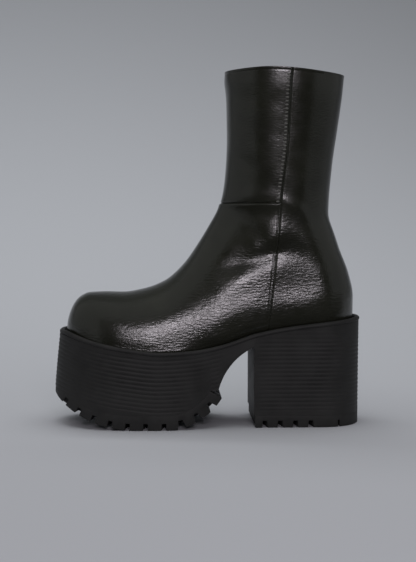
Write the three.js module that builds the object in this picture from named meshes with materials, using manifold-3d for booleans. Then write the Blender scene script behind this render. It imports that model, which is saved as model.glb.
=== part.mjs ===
// A left platform boot: a smooth leather upper over a lasted foot, on a high moulded
// platform with a block heel. Units are millimetres. The toe points to -X, the outer side of
// the foot to -Y, and the boot stands on z = 0.
//
// The upper is lofted from the sections of its last. Each section is a plane across the foot
// through one point of the ridge line (toe, vamp, instep, shin) and one point of the base line
// (the sole from toe to heel, then up the back of the heel to the collar).

import * as THREE from 'three';
import { mergeVertices } from 'three/addons/utils/BufferGeometryUtils.js';
import Module from 'manifold-3d';

const wasm = await Module();
wasm.setup();

// ---------------------------------------------------------------- driving dimensions

const WALL = 2.2; // leather with its lining
const GAP = 0.3; // clearance between pieces that touch

const BOOT_LENGTH = 274; // over the sole, from the foot of the toe wall to the rim's back
const TOE_TIP = -BOOT_LENGTH / 2;
const RIM_TOE = -132.2; // the toe wall leans back to here at the rim
const RIM_HEEL = 136.6;
const HEEL_FOOT = 136; // the heel wall leans in a little towards the floor
const WALL_FLARE = 0.5; // how far the wall's foot stands outside its top, each side
const FLARE_TOP = 30; // height at which the toe wall has all its flare

const TOE_START = -70; // where the toe begins to round
const TOE_ROUND = 2.3; // exponents of the rounding, 2 is an ellipse
const HEEL_START = 98;
const HEEL_ROUND = 2.2;

const RIM_DEPTH = 2.5; // from the rim's top down to the footbed
const BEAD_WIDTH = 4; // width of the raised rim
const FEATHER_INSET = 5.8; // from the rim's edge in to the upper's lower edge
const FEATHER_TOE = RIM_TOE + FEATHER_INSET;
const FEATHER_HEEL = RIM_HEEL - FEATHER_INSET;

const INSOLE_THICKNESS = 2.5;
const INSOLE_INSET = FEATHER_INSET + WALL + 3;

const TREAD_THICKNESS = 12.5; // forefoot tread at the ball
const FLAT_FRONT = -62.5; // the forefoot's flat spot runs from here
const FLAT_BACK = -37.5; // to here
const TOE_SPRING = { long: 93, high: 71 }; // half axes of the tread's curve up to the toe
const TOE_PARTING = { long: 92, high: 52 }; // half axes of the joint above that curve
const ROCKER_RADIUS = 57; // the tread's curve up behind the ball
const ROCKER_ANGLE = THREE.MathUtils.degToRad(58);
const TREAD_FRONT = -142; // the tread's curve is drawn this far, past the toe

const ARCH = { x: 62, z: 20, radius: 55.8 }; // underside of the waist
const ARCH_START = THREE.MathUtils.degToRad(165.7); // where it leaves the tread
const BREAST = 39.2; // front face of the heel
const HEEL_PIECE_THICKNESS = 10.5;
const HEEL_PIECE_SETBACK = 1;

const LUG_DEPTH = 6;
const CHANNEL = { root: 3.8, mouth: 4.8 }; // a channel widens towards the floor
// one behind the ball, where the tread curves up
const SPLAYED_CHANNEL = { root: 3.6, mouth: 7.6, depth: 7.2, slant: 0 };
const HEEL_SIPE = { root: 1.4, mouth: 1.6, x: 114.3 }; // the slit towards the back of the heel
const CHANNEL_SLANT = 8; // degrees that the other side channels turn off square on their way in
const LUG_PITCH = 16;
const FIRST_CHANNEL = -39.5; // the channel at the back of the flat spot
const CHANNELS_AHEAD = 6; // of the first one, towards the toe
const CHANNELS_BEHIND = 3;
const SIDE_LUG = 30; // how far the side lugs reach in from the tread's edge
const HEEL_LUG_PITCH = 13.5;
const HEEL_FIRST_CHANNEL = 48.8;
const HEEL_CHANNELS = 4;
const HEEL_SIDE_LUG = 22;
const GROOVE_START = -111.6; // the tread's two long grooves begin here
const ROCKER_OVERRUN = 1.2; // share of the rocker's angle that the grooves run on to

const COLLAR_LIFT = 2.8; // how far the collar rises at its sides
const COLLAR_FADE = 12; // how soon that rise dies out down the shaft
const SIDE_STEPS = 0.45; // share of a section's steps that lie below its shoulder
const FOOT_FLARE = 11.5; // height above the footbed at which the upper is at its full width

const COLLAR_SCOOP = { lean: 1.3, gather: 1.5 }; // pulls the rise forward, then together

const STATIONS = 44; // along each outline
const RINGS = 46; // sections of the upper
const AROUND = 32; // steps round each section
const OVERRUN = 8; // how far a cutting form passes what it cuts
const FINE_STEPS = 1200; // for measuring along the last
const ARC_STEPS = 20; // in each arc of a side view shape

// Top of the rim along the boot.
const RIM_ROWS = [
  { x: -132, height: 84.0 },
  { x: -100, height: 75.1 },
  { x: -72, height: 70.3 },
  { x: -44, height: 67.5 },
  { x: -16, height: 68.8 },
  { x: 10, height: 73.4 },
  { x: 40, height: 82.7 },
  { x: 70, height: 88.3 },
  { x: 104, height: 92.3 },
  { x: 137, height: 95.6 },
];

// Edge of the rim from above, before its two ends are rounded.
const PLAN_ROWS = [
  { x: -132, outer: -42.0, inner: 52.0 },
  { x: -95, outer: -46.5, inner: 50.5 },
  { x: -70, outer: -48.5, inner: 49.0 },
  { x: -50, outer: -49.5, inner: 49.5 },
  { x: -28, outer: -48.5, inner: 46.5 },
  { x: 0, outer: -44.0, inner: 39.5 },
  { x: 26, outer: -40.0, inner: 35.0 },
  { x: 52, outer: -38.5, inner: 35.5 },
  { x: 80, outer: -38.5, inner: 37.5 },
  { x: 137, outer: -38.5, inner: 38.5 },
];

// Levels of the platform's wall, from the floor up. z is a height, drop a depth below the rim's
// top, toe and heel the ends of the outline there, and inset how far its sides lie inside.
const WALL_ROWS = [
  { z: -4, toe: TOE_TIP, heel: HEEL_FOOT, inset: -WALL_FLARE },
  { z: FLARE_TOP, toe: TOE_TIP, heel: HEEL_FOOT, inset: -WALL_FLARE },
  { drop: 6, toe: RIM_TOE - 0.4, heel: RIM_HEEL - 0.2, inset: 0 },
  { drop: 2.8, toe: RIM_TOE - 0.3, heel: RIM_HEEL + 0.4, inset: -0.3 },
  { drop: 0.8, toe: RIM_TOE + 0.5, heel: RIM_HEEL - 0.3, inset: 0.5 },
  { drop: 0, toe: RIM_TOE + 1.9, heel: RIM_HEEL - 1.7, inset: 1.9 },
];

// The back of the boot, from the heel seat up to the collar, and how far in from it the two
// sides take to reach their full width.
const BACK_ROWS = [
  { z: 92.6, back: FEATHER_HEEL, round: 32.8 },
  { z: 112, back: 130.9, round: 32.8 },
  { z: 134, back: 126.6, round: 33 },
  { z: 159.5, back: 117.2, round: 36 },
  { z: 191, back: 108.8, round: 43 },
  { z: 228, back: 111.5, round: 48 },
  { z: 264, back: 116.5, round: 51 },
  { z: 292, back: 120.3, round: 52.5 },
  { z: 308.6, back: 121.8, round: 53 },
];

// Sections of the last, a row each: the ridge point and the base point in side view, the widest
// places on the outer and inner side, the sideways place of the ridge, how far up the section
// the top begins to round over, and how square that top is. A base is ON_SOLE where the footbed
// gives its height, and ON_BACK where the line of the back gives its place.
const ON_SOLE = null;
const ON_BACK = null;
const SECTION_COLUMNS = [
  'ridgeX', 'ridgeZ', 'baseX', 'baseZ', 'outer', 'inner', 'crest', 'shoulder', 'crown',
];
const SECTION_ROWS = [
  [FEATHER_TOE, 81.0, FEATHER_TOE, ON_SOLE, -38.0, 47.5, 5.0, 0.12, 2.3], // toe tip
  [-125.2, 92.0, -125.2, ON_SOLE, -38.5, 47.3, 5.0, 0.12, 2.3], // toe wall
  [-120.6, 105.2, -120.6, ON_SOLE, -39.5, 47.2, 5.5, 0.12, 2.3],
  [-114.0, 113.2, -114.0, ON_SOLE, -40.5, 47.1, 5.8, 0.12, 2.3], // toe box
  [-105.0, 116.8, -105.0, ON_SOLE, -41.5, 46.8, 6.1, 0.12, 2.3],
  [-92.0, 117.2, -92.0, ON_SOLE, -42.5, 46.2, 6.6, 0.12, 2.25],
  [-75.0, 116.8, -74.0, ON_SOLE, -43.9, 45.0, 7.0, 0.12, 2.2],
  [-57.0, 119.6, -52.0, ON_SOLE, -45.0, 45.2, 7.5, 0.12, 2.15], // ball
  [-38.4, 126.7, -26.0, ON_SOLE, -43.5, 42.0, 7.0, 0.13, 2.1], // vamp
  [-21.6, 141.4, 4.0, ON_SOLE, -40.5, 37.0, 5.5, 0.16, 2.05], // waist
  [-8.5, 159.8, 36.0, ON_SOLE, -37.5, 34.5, 4.0, 0.24, 2.0], // instep
  [2.2, 177.5, 72.0, ON_SOLE, -36.0, 34.0, 3.0, 0.34, 2.0],
  [8.5, 189.0, 106.0, ON_SOLE, -35.3, 34.3, 2.0, 0.44, 2.0], // long heel
  [12.3, 198.5, FEATHER_HEEL, ON_SOLE, -35.0, 34.7, 1.0, 0.52, 2.0], // heel seat
  [14.8, 211.0, ON_BACK, 112.0, -35.0, 35.0, 0.5, 0.56, 2.0],
  [16.2, 225.0, ON_BACK, 134.0, -35.0, 35.0, 0.2, 0.545, 2.0], // back of the heel
  [17.1, 240.0, ON_BACK, 159.5, -35.0, 35.0, 0.0, 0.52, 2.0],
  [17.4, 253.0, ON_BACK, 191.0, -35.5, 35.5, 0.0, 0.49, 2.05], // ankle
  [17.2, 270.0, ON_BACK, 228.0, -36.5, 36.5, 0.0, 0.49, 2.1],
  [16.7, 288.0, ON_BACK, 264.0, -38.0, 38.0, 0.0, 0.50, 2.1], // shaft
  [15.1, 304.0, ON_BACK, 292.0, -39.5, 39.5, 0.0, 0.50, 2.1],
  [15.6, 312.3, ON_BACK, 308.6, -40.0, 40.0, 0.0, 0.50, 2.1], // collar
];
const HEEL_SEAT_ROW = 13;
const LAST_ROW = SECTION_ROWS.length - 1;

// ---------------------------------------------------------------- materials

const materials = {
  leather: new THREE.MeshStandardMaterial({ color: 0x26261f, roughness: 0.38, metalness: 0 }),
  insole: new THREE.MeshStandardMaterial({ color: 0x3a332b, roughness: 0.9, metalness: 0 }),
  rubber: new THREE.MeshStandardMaterial({ color: 0x29292a, roughness: 0.6, metalness: 0 }),
};

// ---------------------------------------------------------------- curves and outlines

// A smooth curve through points that never passes beyond their values.
function through(xs, ys) {
  const slopes = xs.slice(1).map((x, i) => (ys[i + 1] - ys[i]) / (x - xs[i]));
  const tangents = xs.map((x, i) => {
    const before = slopes[Math.max(i - 1, 0)];
    const after = slopes[Math.min(i, slopes.length - 1)];
    return before * after > 0 ? (2 * before * after) / (before + after) : 0;
  });
  return (x) => {
    const at = THREE.MathUtils.clamp(x, xs[0], xs[xs.length - 1]);
    let i = 0;
    while (i < xs.length - 2 && at > xs[i + 1]) {
      i += 1;
    }
    const span = xs[i + 1] - xs[i];
    const t = (at - xs[i]) / span;
    const rise = t * t * (3 - 2 * t);
    const leave = t * (1 - t) * (1 - t) * span;
    const arrive = t * t * (t - 1) * span;
    return ys[i] * (1 - rise) + ys[i + 1] * rise + tangents[i] * leave + tangents[i + 1] * arrive;
  };
}

function curveOf(rows, key, along = 'x') {
  return through(rows.map((row) => row[along]), rows.map((row) => row[key]));
}

const rimHeight = curveOf(RIM_ROWS, 'height');
const planOuter = curveOf(PLAN_ROWS, 'outer');
const planInner = curveOf(PLAN_ROWS, 'inner');
const backLine = curveOf(BACK_ROWS, 'back', 'z');
const backRound = curveOf(BACK_ROWS, 'round', 'z');

function footbed(x) {
  return rimHeight(x) - RIM_DEPTH;
}

function centreLine(x) {
  return (planOuter(x) + planInner(x)) / 2;
}

// What is left of the full width near an end of the outline.
function rounding(x, start, end, exponent) {
  const gone = THREE.MathUtils.clamp((x - start) / (end - start), 0, 1);
  return (1 - gone ** exponent) ** (1 / exponent);
}

// The two edges of an outline at one place along the boot.
function edges(x, toe, heel, inset) {
  const centre = centreLine(x);
  const round = rounding(x, TOE_START, toe, TOE_ROUND) * rounding(x, HEEL_START, heel, HEEL_ROUND);
  const half = ((planInner(x) - planOuter(x)) / 2 - inset) * round;
  return { outer: centre - half, inner: centre + half };
}

// ---------------------------------------------------------------- solids

function solidOf(vertices, triangles) {
  const mesh = new wasm.Mesh({
    numProp: 3,
    vertProperties: new Float32Array(vertices.flat()),
    triVerts: new Uint32Array(triangles.flat()),
  });
  mesh.merge();
  return new wasm.Manifold(mesh);
}

function solidOfGeometry(geometry) {
  geometry.deleteAttribute('normal');
  geometry.deleteAttribute('uv');
  const merged = mergeVertices(geometry, 1e-4);
  const mesh = new wasm.Mesh({
    numProp: 3,
    vertProperties: new Float32Array(merged.attributes.position.array),
    triVerts: new Uint32Array(merged.index.array),
  });
  return new wasm.Manifold(mesh);
}

function meshOf(name, solid, material) {
  const { vertProperties, triVerts } = solid.getMesh();
  const geometry = new THREE.BufferGeometry();
  geometry.setAttribute('position', new THREE.BufferAttribute(vertProperties, 3));
  geometry.setIndex(new THREE.BufferAttribute(triVerts, 1));
  geometry.computeVertexNormals();
  const mesh = new THREE.Mesh(geometry, material);
  mesh.name = name;
  return mesh;
}

// A side view shape, drawn in x and z, carried across the boot from one y to another.
function across(shape, from, to) {
  const geometry = new THREE.ExtrudeGeometry(shape, {
    depth: to - from,
    bevelEnabled: false,
    curveSegments: ARC_STEPS,
  });
  geometry.rotateX(Math.PI / 2);
  geometry.translate(0, to, 0);
  return solidOfGeometry(geometry);
}

// One closed outline: out along the outer edge from toe to heel, and back along the inner.
function outlineLoop(toe, heel, inset, heightAt) {
  const stations = Array.from({ length: STATIONS + 1 }, (_, i) => {
    const turn = (1 - Math.cos((Math.PI * i) / STATIONS)) / 2;
    return toe + (heel - toe) * turn;
  });
  const outer = stations.map((x) => [x, edges(x, toe, heel, inset).outer, heightAt(x)]);
  const inner = stations.map((x) => [x, edges(x, toe, heel, inset).inner, heightAt(x)]);
  return [...outer, ...inner.slice(1, -1).reverse()];
}

// Triangles across a loop that runs out along one side and back along the other.
function ladder(loop) {
  const count = loop.length;
  const triangles = [];
  for (let i = 0; i < count / 2; i += 1) {
    const here = loop[i];
    const ahead = loop[i + 1];
    const facing = loop[(count - i) % count];
    const facingAhead = loop[count - i - 1];
    if (i > 0) {
      triangles.push([facing, ahead, here]);
    }
    if (i < count / 2 - 1) {
      triangles.push([facing, facingAhead, ahead]);
    }
  }
  return triangles;
}

// Triangles between a loop and the loop above it.
function band(lower, upper) {
  return lower.flatMap((a, i) => {
    const next = (i + 1) % lower.length;
    return [[a, lower[next], upper[next]], [a, upper[next], upper[i]]];
  });
}

// A solid between outline loops that are stacked from the lowest up.
function stack(loops) {
  const numbered = loops.map((loop, level) => loop.map((_, i) => level * loop.length + i));
  const walls = numbered.slice(1).flatMap((loop, level) => band(numbered[level], loop));
  const top = ladder(numbered[numbered.length - 1]).map((corners) => [...corners].reverse());
  return solidOf(loops.flat(), [...walls, ...ladder(numbered[0]), ...top]);
}

// ---------------------------------------------------------------- the last

const rowNumbers = SECTION_ROWS.map((_, i) => i);
const sectionCurves = Object.fromEntries(
  SECTION_COLUMNS.map((name) => {
    const values = SECTION_ROWS.map((row) => {
      const cut = Object.fromEntries(SECTION_COLUMNS.map((key, i) => [key, row[i]]));
      cut.baseX = cut.baseX ?? backLine(cut.baseZ);
      cut.baseZ = cut.baseZ ?? footbed(cut.baseX) + GAP;
      return cut[name];
    });
    return [name, through(rowNumbers, values)];
  }),
);

function section(s) {
  const cut = Object.fromEntries(SECTION_COLUMNS.map((name) => [name, sectionCurves[name](s)]));
  const onSole = s < HEEL_SEAT_ROW;
  if (onSole) {
    cut.baseZ = footbed(cut.baseX) + GAP;
  } else {
    cut.baseX = backLine(cut.baseZ);
  }
  return { ...cut, centre: onSole ? centreLine(cut.baseX) : 0 };
}

// How much of its full width the upper has at its lower edge, growing to all of it above.
function footShare(x, z, half) {
  const feather = (planInner(x) - planOuter(x)) / 2 - FEATHER_INSET;
  const height = THREE.MathUtils.clamp((z - footbed(x) - GAP) / FOOT_FLARE, 0, 1);
  return THREE.MathUtils.lerp(feather / half, 1, Math.sin((height * Math.PI) / 2));
}

// A point of the last: s runs through the section rows, t once round a section from the outer
// base point (0) over the ridge (0.5) to the inner base point (1).
function lastPoint(s, t) {
  const cut = section(s);
  const side = t < 0.5 ? 'outer' : 'inner';
  const climb = 2 * Math.min(t, 1 - t);
  const below = climb < SIDE_STEPS;
  const share = below ? climb / SIDE_STEPS : (climb - SIDE_STEPS) / (1 - SIDE_STEPS);
  const q = (share * Math.PI) / 2;
  const sine = Math.sin(q) ** (2 / cut.crown);
  const cosine = Math.max(Math.cos(q), 0) ** (2 / cut.crown);
  const up = below ? cut.shoulder * (1 - Math.cos(q)) : cut.shoulder + (1 - cut.shoulder) * sine;
  const x = cut.baseX + (cut.ridgeX - cut.baseX) * up;
  const z = cut.baseZ + (cut.ridgeZ - cut.baseZ) * up;
  const half = cut[side] - cut.centre;
  const crest = cut.crest - cut.centre;
  const over = below ? half : crest + (half - crest) * cosine;
  const toeRound = rounding(cut.baseX, TOE_START, FEATHER_TOE, TOE_ROUND);
  const back = backLine(z);
  const heelRound = rounding(x, back - backRound(z), back, HEEL_ROUND);
  const y = cut.centre + over * footShare(x, z, Math.abs(half)) * toeRound * heelRound;
  const scoop = Math.sin(Math.PI * Math.min(up, 1) ** COLLAR_SCOOP.lean) ** COLLAR_SCOOP.gather;
  const lift = COLLAR_LIFT * scoop * (s / LAST_ROW) ** COLLAR_FADE;
  return new THREE.Vector3(x, y, z + lift);
}

// Section places spread so that each step travels about as far round the boot as the last.
function evenSections(count) {
  const travelled = [0];
  for (let i = 1; i <= FINE_STEPS; i += 1) {
    const before = ((i - 1) / FINE_STEPS) * LAST_ROW;
    const after = (i / FINE_STEPS) * LAST_ROW;
    const ridge = lastPoint(before, 0.5).distanceTo(lastPoint(after, 0.5));
    const base = lastPoint(before, 0).distanceTo(lastPoint(after, 0));
    travelled.push(travelled[i - 1] + ridge + base);
  }
  const places = [0];
  for (let ring = 1; ring < count; ring += 1) {
    const wanted = (travelled[FINE_STEPS] * ring) / count;
    const i = travelled.findIndex((distance) => distance >= wanted);
    places.push((i / FINE_STEPS) * LAST_ROW);
  }
  places.push(HEEL_SEAT_ROW, LAST_ROW);
  return places.sort((a, b) => a - b);
}

// ---------------------------------------------------------------- upper

// The open surface of the last: its points, its triangles, and its two open edges.
function lastSurface() {
  const places = evenSections(RINGS);
  const seatRing = places.indexOf(HEEL_SEAT_ROW);
  const points = [];
  const grid = places.map((s, ring) => {
    const tip = ring === 0;
    const closed = ring >= seatRing;
    const row = [];
    for (let j = 0; j <= AROUND; j += 1) {
      const shared = (tip && j > 0) || (closed && j === AROUND);
      if (!shared) {
        points.push(lastPoint(s, j / AROUND));
      }
      row.push(shared ? row[0] : points.length - 1);
    }
    return row;
  });
  const triangles = [];
  for (let ring = 0; ring < grid.length - 1; ring += 1) {
    for (let j = 0; j < AROUND; j += 1) {
      const here = grid[ring][j];
      const above = grid[ring][j + 1];
      const ahead = grid[ring + 1][j];
      const aheadAbove = grid[ring + 1][j + 1];
      triangles.push([here, ahead, aheadAbove], [here, aheadAbove, above]);
    }
  }
  const whole = triangles.filter(([a, b, c]) => a !== b && b !== c && c !== a);
  const outward = grid.slice(0, seatRing + 1).map((row) => row[0]);
  const homeward = grid.slice(1, seatRing).map((row) => row[AROUND]).reverse();
  const collar = grid[grid.length - 1].slice(0, AROUND);
  return { points, triangles: whole, sole: [...outward, ...homeward], collar };
}

function normalsOf({ points, triangles }) {
  const normals = points.map(() => new THREE.Vector3());
  triangles.forEach((corners) => {
    const [a, b, c] = corners.map((corner) => points[corner]);
    const face = new THREE.Vector3().crossVectors(b.clone().sub(a), c.clone().sub(a));
    corners.forEach((corner) => normals[corner].add(face));
  });
  return normals.map((normal) => normal.normalize());
}

// The last as a solid, shrunk by a depth below its surface, its two ends drawn out by reach.
function lastSolid(surface, depth, reach) {
  const normals = normalsOf(surface);
  const points = surface.points.map((p, i) => p.clone().addScaledVector(normals[i], -depth));
  const copyLoop = (loop, rise) => loop.map((corner) => {
    const moved = points[corner].clone();
    moved.z += rise;
    points.push(moved);
    return points.length - 1;
  });
  const below = reach > 0 ? copyLoop(surface.sole, -reach) : surface.sole;
  const above = reach > 0 ? copyLoop(surface.collar, reach) : surface.collar;
  const skirts = reach > 0
    ? [...band(below, surface.sole), ...band([...surface.collar].reverse(), [...above].reverse())]
    : [];
  const triangles = [...surface.triangles, ...skirts, ...ladder(below), ...ladder(above)];
  return solidOf(points.map((p) => p.toArray()), triangles);
}

function makeUpper() {
  const surface = lastSurface();
  const shell = lastSolid(surface, 0, 0).subtract(lastSolid(surface, WALL, OVERRUN));
  return meshOf('upper', shell, materials.leather);
}

// ---------------------------------------------------------------- insole

function makeInsole() {
  const toe = RIM_TOE + INSOLE_INSET;
  const heel = RIM_HEEL - INSOLE_INSET;
  const level = (rise) => outlineLoop(toe, heel, INSOLE_INSET, (x) => footbed(x) + GAP + rise);
  return meshOf('insole', stack([level(0), level(INSOLE_THICKNESS)]), materials.insole);
}

// ---------------------------------------------------------------- sole

// Everything inside the sole's outer wall, from below the floor to the rim.
function soleBlock() {
  return stack(WALL_ROWS.map(({ z, drop, toe, heel, inset }) => {
    const heightAt = drop === undefined ? () => z : (x) => rimHeight(x) - drop;
    return outlineLoop(toe, heel, inset, heightAt);
  }));
}

function footCavity() {
  const toe = RIM_TOE + BEAD_WIDTH;
  const heel = RIM_HEEL - BEAD_WIDTH;
  const floor = outlineLoop(toe, heel, BEAD_WIDTH, footbed);
  const open = outlineLoop(toe, heel, BEAD_WIDTH, (x) => rimHeight(x) + OVERRUN);
  return stack([floor, open]);
}

// Where a curve with these half axes, lowest at the flat spot's front, meets a place on the x
// axis: its angle there.
function toeAngle({ long }, x) {
  return Math.PI + Math.acos((FLAT_FRONT - x) / long);
}

const BOTTOM = 1.5 * Math.PI;

// The curve that the tread rolls along, from the toe to behind the ball.
function treadPath() {
  const path = new THREE.CurvePath();
  const { long, high } = TOE_SPRING;
  const start = toeAngle(TOE_SPRING, TREAD_FRONT);
  path.add(new THREE.EllipseCurve(FLAT_FRONT, high, long, high, start, BOTTOM));
  path.add(new THREE.LineCurve(new THREE.Vector2(FLAT_FRONT, 0), new THREE.Vector2(FLAT_BACK, 0)));
  path.add(new THREE.EllipseCurve(
    FLAT_BACK, ROCKER_RADIUS, ROCKER_RADIUS, ROCKER_RADIUS, BOTTOM, BOTTOM + ROCKER_ANGLE,
  ));
  return path;
}

// Draws the joint over the tread from toe to waist, at a height above the floor on the flat.
function drawParting(shape, height) {
  const { long, high } = TOE_PARTING;
  shape.absellipse(
    FLAT_FRONT, height + high, long, high, toeAngle(TOE_PARTING, TREAD_FRONT), BOTTOM, false, 0,
  );
  const radius = ROCKER_RADIUS - height;
  shape.absarc(FLAT_BACK, ROCKER_RADIUS, radius, BOTTOM, BOTTOM + ROCKER_ANGLE, false);
}

function platformProfile() {
  const shape = new THREE.Shape();
  const far = HEEL_FOOT + 2 * OVERRUN;
  const over = RIM_ROWS[RIM_ROWS.length - 1].height + 2 * OVERRUN;
  shape.moveTo(far, over);
  shape.lineTo(TREAD_FRONT, over);
  drawParting(shape, TREAD_THICKNESS + GAP);
  const archEnd = Math.acos((BREAST - ARCH.x) / ARCH.radius);
  shape.absarc(ARCH.x, ARCH.z, ARCH.radius, ARCH_START, archEnd, true);
  shape.lineTo(BREAST, HEEL_PIECE_THICKNESS + GAP);
  shape.lineTo(far, HEEL_PIECE_THICKNESS + GAP);
  return shape;
}

function makePlatform(block) {
  const profile = across(platformProfile(), -BOOT_LENGTH, BOOT_LENGTH);
  const solid = block.intersect(profile).subtract(footCavity());
  return meshOf('platform', solid, materials.rubber);
}

// Everything below the tread's curve raised by a height, from one place along it to the waist.
function underTread(height, front) {
  const shape = new THREE.Shape();
  const curve = { long: TOE_SPRING.long - height, high: TOE_SPRING.high - height };
  shape.moveTo(BREAST, -OVERRUN);
  shape.lineTo(front, -OVERRUN);
  shape.absellipse(
    FLAT_FRONT, TOE_SPRING.high, curve.long, curve.high, toeAngle(curve, front), BOTTOM, false, 0,
  );
  shape.absarc(
    FLAT_BACK, ROCKER_RADIUS, ROCKER_RADIUS - height,
    BOTTOM, BOTTOM + ROCKER_OVERRUN * ROCKER_ANGLE, false,
  );
  return shape;
}

function treadLayer() {
  const end = new THREE.Vector2(Math.sin(ROCKER_ANGLE), -Math.cos(ROCKER_ANGLE));
  end.multiplyScalar(ROCKER_RADIUS + OVERRUN).add(new THREE.Vector2(FLAT_BACK, ROCKER_RADIUS));
  const shape = new THREE.Shape();
  shape.moveTo(end.x, -OVERRUN);
  shape.lineTo(TREAD_FRONT, -OVERRUN);
  drawParting(shape, TREAD_THICKNESS);
  shape.lineTo(end.x, end.y);
  return shape;
}

// A cutting wedge across the tread, from one y to another, where the tread stands at a place
// with a tilt. It turns off square by some degrees, about a pivot on the tread's edge.
function channel(widths, { point, tilt }, from, to, turn = 0, pivot = 0) {
  const { root, mouth, depth = LUG_DEPTH } = widths;
  const shape = new THREE.Shape();
  const below = mouth + ((mouth - root) * OVERRUN) / depth;
  shape.moveTo(-root / 2, depth);
  shape.lineTo(-below / 2, -OVERRUN);
  shape.lineTo(below / 2, -OVERRUN);
  shape.lineTo(root / 2, depth);
  const wedge = across(shape, from, to).translate([0, -pivot, 0]).rotate([0, 0, turn]);
  const tilted = wedge.translate([0, pivot, 0]).rotate([0, -THREE.MathUtils.radToDeg(tilt), 0]);
  return tilted.translate([point.x, 0, point.y]);
}

// A pair of channels, in from the tread's two edges as far as a distance from its middle. Each
// is the mirror image of the other.
function sideChannels(widths, place, edge, middle, turn) {
  const reach = edge + OVERRUN;
  const outer = channel(widths, place, -reach, -middle, -turn, -edge);
  return outer.add(channel(widths, place, middle, reach, turn, edge));
}

function makeForefootTread(block) {
  const path = treadPath();
  const [toeCurve] = path.curves;
  const length = path.getLength();
  const first = toeCurve.getLength() + FIRST_CHANNEL - FLAT_FRONT;
  const place = (distance) => ({
    point: path.getPointAt(distance / length),
    tilt: path.getTangentAt(distance / length).angle(),
  });
  const edge = -PLAN_ROWS.reduce((widest, row) => Math.min(widest, row.outer), 0);
  const side = edge - SIDE_LUG;
  const middle = side - CHANNEL.root;
  const reach = BOOT_LENGTH / 2;
  const widthsAt = (i) => (i > 0 ? SPLAYED_CHANNEL : CHANNEL);

  let tread = block.intersect(across(treadLayer(), -reach, reach));
  tread = tread.subtract(across(underTread(0, TREAD_FRONT), -reach, reach));
  const grooves = underTread(LUG_DEPTH - 1, GROOVE_START);
  tread = tread.subtract(across(grooves, -side, -middle));
  tread = tread.subtract(across(grooves, middle, side));
  for (let i = -CHANNELS_AHEAD; i <= CHANNELS_BEHIND; i += 1) {
    const there = place(first + i * LUG_PITCH);
    const { slant = CHANNEL_SLANT } = widthsAt(i);
    tread = tread.subtract(sideChannels(widthsAt(i), there, edge, middle, slant));
  }
  for (let i = 1 - CHANNELS_AHEAD; i < CHANNELS_BEHIND; i += 1) {
    const there = place(first + (i + 0.5) * LUG_PITCH);
    tread = tread.subtract(channel(widthsAt(i), there, -side, side));
  }
  return meshOf('outsole_forefoot', tread, materials.rubber);
}

function makeHeelPiece(block) {
  const front = BREAST + HEEL_PIECE_SETBACK;
  const far = HEEL_FOOT + 2 * OVERRUN;
  const reach = BOOT_LENGTH / 2;
  const shape = new THREE.Shape();
  shape.moveTo(front, HEEL_PIECE_THICKNESS);
  shape.lineTo(front, 2 * HEEL_PIECE_SETBACK);
  shape.lineTo(front + HEEL_PIECE_SETBACK, 0);
  shape.lineTo(far, 0);
  shape.lineTo(far, HEEL_PIECE_THICKNESS);
  let piece = block.intersect(across(shape, -reach, reach));
  const edge = -PLAN_ROWS[PLAN_ROWS.length - 1].outer;
  const middle = edge - HEEL_SIDE_LUG;
  const at = (x) => ({ point: { x, y: 0 }, tilt: 0 });
  for (let i = 0; i < HEEL_CHANNELS; i += 1) {
    const there = at(HEEL_FIRST_CHANNEL + i * HEEL_LUG_PITCH);
    piece = piece.subtract(sideChannels(CHANNEL, there, edge, middle, -CHANNEL_SLANT));
  }
  piece = piece.subtract(sideChannels(HEEL_SIPE, at(HEEL_SIPE.x), edge, middle, 0));
  return meshOf('heel_top_piece', piece, materials.rubber);
}

// ---------------------------------------------------------------- the boot

const block = soleBlock();
const boot = new THREE.Group();
boot.add(makeUpper());
boot.add(makeInsole());
boot.add(makePlatform(block));
boot.add(makeForefootTread(block));
boot.add(makeHeelPiece(block));

export default boot;
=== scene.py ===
"""A left platform boot in Blender: the leather upper with its seams, stitches and creases, the
ribbed platform with its block heel, and the lugged treads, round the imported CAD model.

Sizes in the tables are millimetres in the boot's own frame: toe towards -X, outer side of the
foot towards -Y, floor at z = 0. Blender's own units are metres.
"""

import math

import bmesh
import bpy
import numpy as np
from bpy.props import FloatProperty, FloatVectorProperty, IntProperty, PointerProperty
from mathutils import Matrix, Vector


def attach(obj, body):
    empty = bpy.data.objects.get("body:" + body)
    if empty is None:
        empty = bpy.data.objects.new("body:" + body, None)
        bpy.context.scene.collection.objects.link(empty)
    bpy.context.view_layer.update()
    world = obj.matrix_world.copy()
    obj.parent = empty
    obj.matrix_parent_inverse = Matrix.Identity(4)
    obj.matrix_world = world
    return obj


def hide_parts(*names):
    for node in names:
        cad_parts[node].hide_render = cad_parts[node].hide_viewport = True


bl_info = {
    "name": "Platform boot",
    "version": (1, 0, 0),
    "blender": (4, 5, 0),
    "location": "3D View > Sidebar > Boot",
    "description": "Builds the looks of a left platform boot piece by piece",
    "category": "Object",
}

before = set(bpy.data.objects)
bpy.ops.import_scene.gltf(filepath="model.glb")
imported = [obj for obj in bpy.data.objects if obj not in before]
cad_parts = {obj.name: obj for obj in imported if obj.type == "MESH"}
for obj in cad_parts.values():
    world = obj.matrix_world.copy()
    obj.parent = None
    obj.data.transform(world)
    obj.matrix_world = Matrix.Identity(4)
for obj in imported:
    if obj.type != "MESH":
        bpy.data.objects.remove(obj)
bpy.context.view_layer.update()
MM = 0.001

# ------------------------------------------------------------------ the boot's tables

# the rim's ends, its depth over the footbed, and the feather edge where the leather meets it
RIM_TOE, RIM_HEEL, RIM_DEPTH = -132.2, 136.6, 2.5
FEATHER_INSET, CLEARANCE = 5.8, 0.3
FEATHER_TOE = RIM_TOE + FEATHER_INSET
FEATHER_HEEL = RIM_HEEL - FEATHER_INSET
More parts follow.
